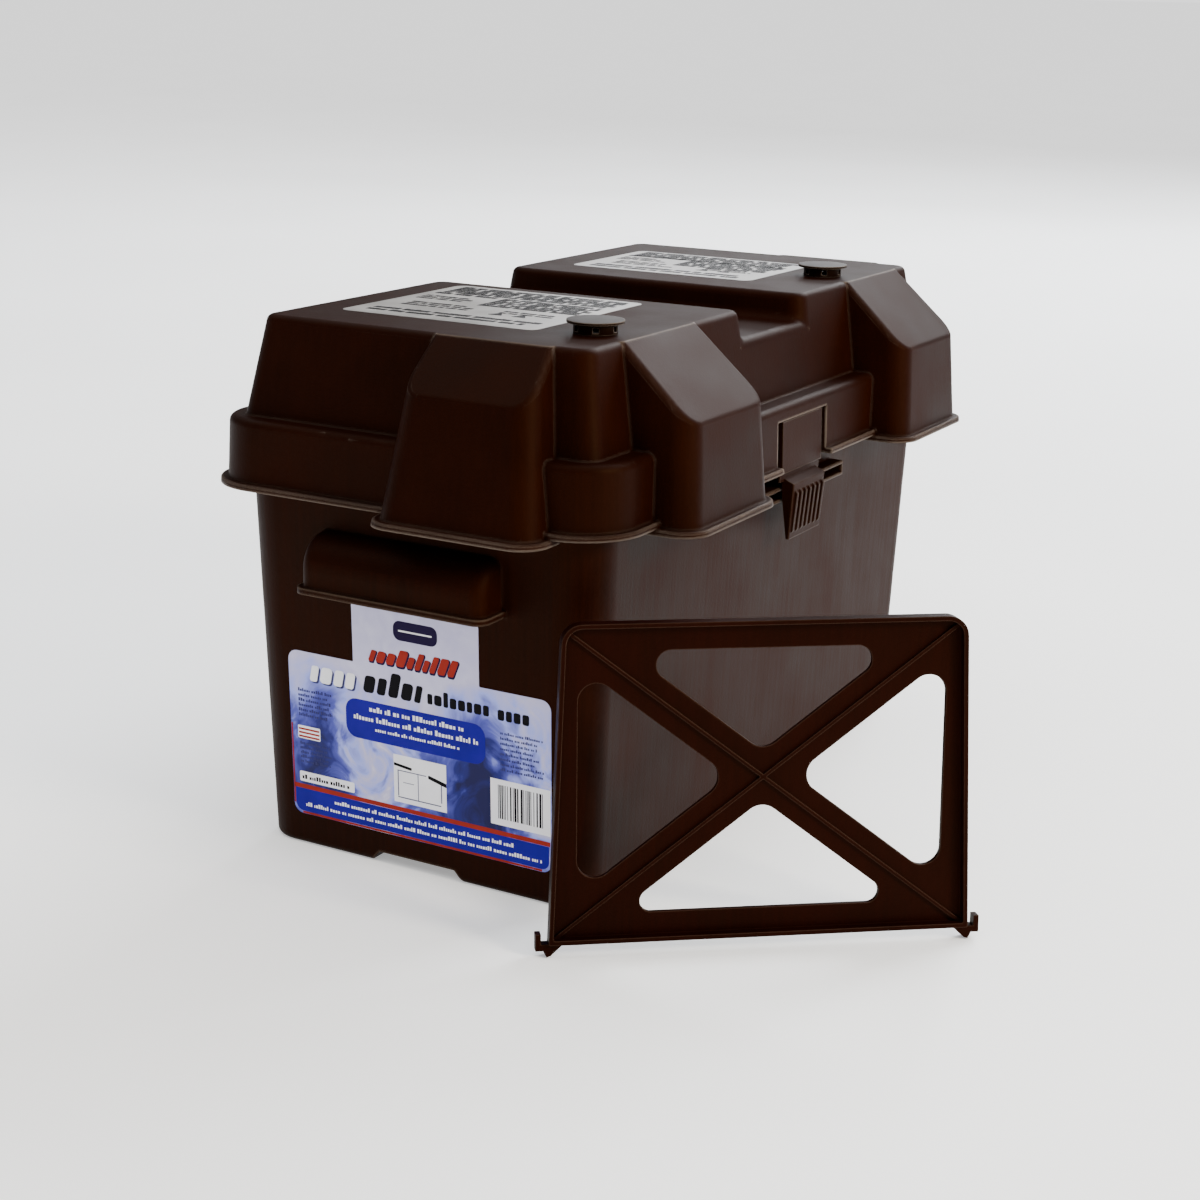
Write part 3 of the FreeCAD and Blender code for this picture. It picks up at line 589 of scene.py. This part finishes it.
def make_deck_label(which, seed):
    """Silver instruction label with blocks of print, none of it close round the vent cap."""
    node = "label_deck_" + which
    low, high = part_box(node)
    vent_low, vent_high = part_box("vent_cap_" + which)
    vent = (vent_low + vent_high) / 2
    deck = low.z
    rng = random.Random(seed)

    def on_deck(u, v, height):
        """Point on the deck: u to the right as read from the -X end, v away from the reader."""
        return Vector((v * MM, -u * MM, deck + height))

    left, right = -high.y / MM, -low.y / MM
    near, far = low.x / MM, high.x / MM
    outline = bar(left, near, right, far, DECK_CORNER)
    label_sheet(node + "_film", outline, on_deck, SILVER, "lid", node, 3.0, 0.03 * MM)

    def keep(mark):
        """Whether a mark stays clear of the vent cap."""
        return (mark[0] - Vector((-vent.y, vent.x)) / MM).length > VENT_CLEAR

    width, depth = right - left, far - near

    def block(start, end, top, rows, height, pitch, ragged):
        """Rows of print between shares of the label's width, down from a share of its depth."""
        return print_block(rng, left + width * start, left + width * end, near + depth * top, rows,
                           height, pitch, ragged, heavy=True)

    marks = block(0.06, 0.96, 0.96, 5, PRINT_TALL, PRINT_PITCH, 0.04)
    marks += block(0.42, 0.96, 0.73, 6, PRINT_TALL, PRINT_PITCH, 0.04)
    marks += block(0.06, 0.36, 0.63, 3, 2.8, 4.4, 0.3)
    marks += block(0.12, 0.55, 0.42, 3, 2.6, 4.6, 0.4)
    marks += block(0.62, 0.94, 0.40, 2, 2.6, 4.6, 0.3)
    headings = block(0.05, 0.40, 0.74, 1, 4.6, 5, 0.0) + block(0.08, 0.94, 0.19, 2, 4.2, 6.4, 0.08)
    symbols = []
    for share in (0.60, 0.72):
        u = left + width * share
        v = near + depth * 0.27
        symbols.append(rounded([(u, v, 0.5), (u + SYMBOL_WIDTH, v, 0.5),
                                (u + SYMBOL_WIDTH / 2, v + SYMBOL_HEIGHT, 0.5)]))
    for name, outlines in (("_print", marks), ("_headings", headings), ("_symbols", symbols)):
        print_marks(node + name, [m for m in outlines if keep(m)], on_deck, 2, INK_BLACK,
                    "lid")


# ---------------------------------------------------------------- living hinges of the latches

def make_latch_hinge(side):
    """Thin flexing web that joins one latch tongue to the lid above it."""
    which = "front" if side < 0 else "rear"
    low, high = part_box("latch_" + which)
    tab_face = high.y if side > 0 else -low.y
    tongue_face = tab_face - TONGUE_BEHIND_TAB * MM
    tongue_top = high.z
    half = (high.x - low.x) / 2
    made = bmesh.new()
    profile = [(-WEB_BELOW, -0.6), (0.2, -0.35), (WEB_ABOVE, -0.6),
               (WEB_ABOVE, -2.0), (0.2, -2.3), (-WEB_BELOW, -2.0)]
    rings = []
    for step in range(WEB_STEPS + 1):
        x = -half + 2 * half * step / WEB_STEPS
        swell = WEB_SWELL * MM * noise.noise(Vector((x * 90, side * 2.0, 0)))
        ring = []
        for rise, depth in profile:
            ring.append(made.verts.new((x, side * (tongue_face + depth * MM + swell),
                                        tongue_top + rise * MM)))
        rings.append(ring)
    for here, there in zip(rings, rings[1:]):
        for i in range(len(profile)):
            j = (i + 1) % len(profile)
            made.faces.new((here[i], here[j], there[j], there[i]))
    made.faces.new(rings[0])
    made.faces.new(rings[-1])
    web = new_piece("latch_hinge_" + which, made, LATCH_PLASTIC, None)
    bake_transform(web)


# ---------------------------------------------------------------- finishes on the CAD pieces

def finish_cad_pieces():
    """The CAD pieces that stay visible get their plastics."""
    finishes = {"tub": PLASTIC, "lid": LID_PLASTIC, "latch_front": LATCH_PLASTIC,
                "latch_rear": LATCH_PLASTIC, "vent_cap_near": CAP_PLASTIC,
                "vent_cap_far": CAP_PLASTIC, "divider": DIVIDER_PLASTIC}
    for name, finish in finishes.items():
        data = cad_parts[name].data
        data.materials.clear()
        data.materials.append(finish)


# ---------------------------------------------------------------- studio

def make_floor():
    made = bmesh.new()
    bmesh.ops.create_circle(made, cap_ends=True, radius=FLOOR_RADIUS, segments=96)
    mesh = bpy.data.meshes.new("floor")
    made.to_mesh(mesh)
    made.free()
    mesh.materials.append(pale_floor("floor_paper"))
    floor = bpy.data.objects.new("floor", mesh)
    bpy.context.scene.collection.objects.link(floor)


def make_softbox(name, place, target, width, height, power, tint):
    """Soft rectangular light that faces its target."""
    data = bpy.data.lights.new(name, "AREA")
    data.shape = "RECTANGLE"
    data.size = width
    data.size_y = height
    data.energy = power
    data.color = tint
    light = bpy.data.objects.new(name, data)
    bpy.context.scene.collection.objects.link(light)
    light.location = place
    light.rotation_euler = (Vector(target) - Vector(place)).to_track_quat("-Z", "Y").to_euler()
    light.visible_camera = False


def make_sky_panel(strength, spread):
    """Even light from overhead, as from a very large softbox; spread is its angle across."""
    data = bpy.data.lights.new("sky_panel", "SUN")
    data.energy = strength
    data.angle = math.radians(spread)
    light = bpy.data.objects.new("sky_panel", data)
    bpy.context.scene.collection.objects.link(light)


def make_world(level, backdrop):
    """Even dim light from all round; beyond the floor's edge it looks as pale as the floor."""
    world = bpy.data.worlds.new("studio")
    world.use_nodes = True
    tree = world.node_tree
    background = tree.nodes["Background"]
    background.inputs["Color"].default_value = (1, 1, 1, 1)
    seen = add(tree, "ShaderNodeLightPath").outputs["Is Camera Ray"]
    strength = math_node(tree, "ADD", math_node(tree, "MULTIPLY", seen, backdrop - level), level)
    wire(tree, strength, background.inputs["Strength"])
    bpy.context.scene.world = world


def make_camera():
    """Camera at the photographed angle, slightly rolled."""
    heading, tilt, roll = CAMERA_HEADING, CAMERA_TILT, CAMERA_ROLL
    ahead = Vector((math.cos(heading) * math.cos(tilt), math.sin(heading) * math.cos(tilt),
                    math.sin(tilt)))
    level = Vector((math.sin(heading), -math.cos(heading), 0))
    upward = level.cross(ahead)
    right = level * math.cos(roll) + upward * math.sin(roll)
    top = upward * math.cos(roll) - level * math.sin(roll)
    turn = Matrix((right, top, -ahead)).transposed().to_4x4()
    data = bpy.data.cameras.new("camera")
    data.sensor_width = CAMERA_FILM
    data.lens = CAMERA_LENS
    data.clip_start = 0.01
    data.clip_end = 1000
    camera = bpy.data.objects.new("camera", data)
    camera.matrix_world = Matrix.Translation(Vector(CAMERA_PLACE)) @ turn
    bpy.context.scene.collection.objects.link(camera)
    bpy.context.scene.camera = camera


make_camera()
make_world(0.28, 1.6)
make_floor()
make_sky_panel(3.2, 100)
make_softbox("back_softbox", (3.0, -0.5, 2.35), (0, 0, 0.2), 2.7, 1.4, 225, (0.92, 0.96, 1.0))
make_softbox("far_softbox", (2.9, 0.9, 1.0), (-0.12, -0.05, 0.25), 1.6, 0.5, 13, (0.95, 0.97, 1.0))
make_softbox("key_softbox", (-0.3, -2.0, 1.1), (0, 0, 0.15), 0.5, 0.5, 50, (1.0, 0.9, 0.74))
finish_cad_pieces()
make_end_label()
make_deck_label("near", 7)
make_deck_label("far", 8)
for front_or_rear in (-1, 1):
    make_latch_hinge(front_or_rear)
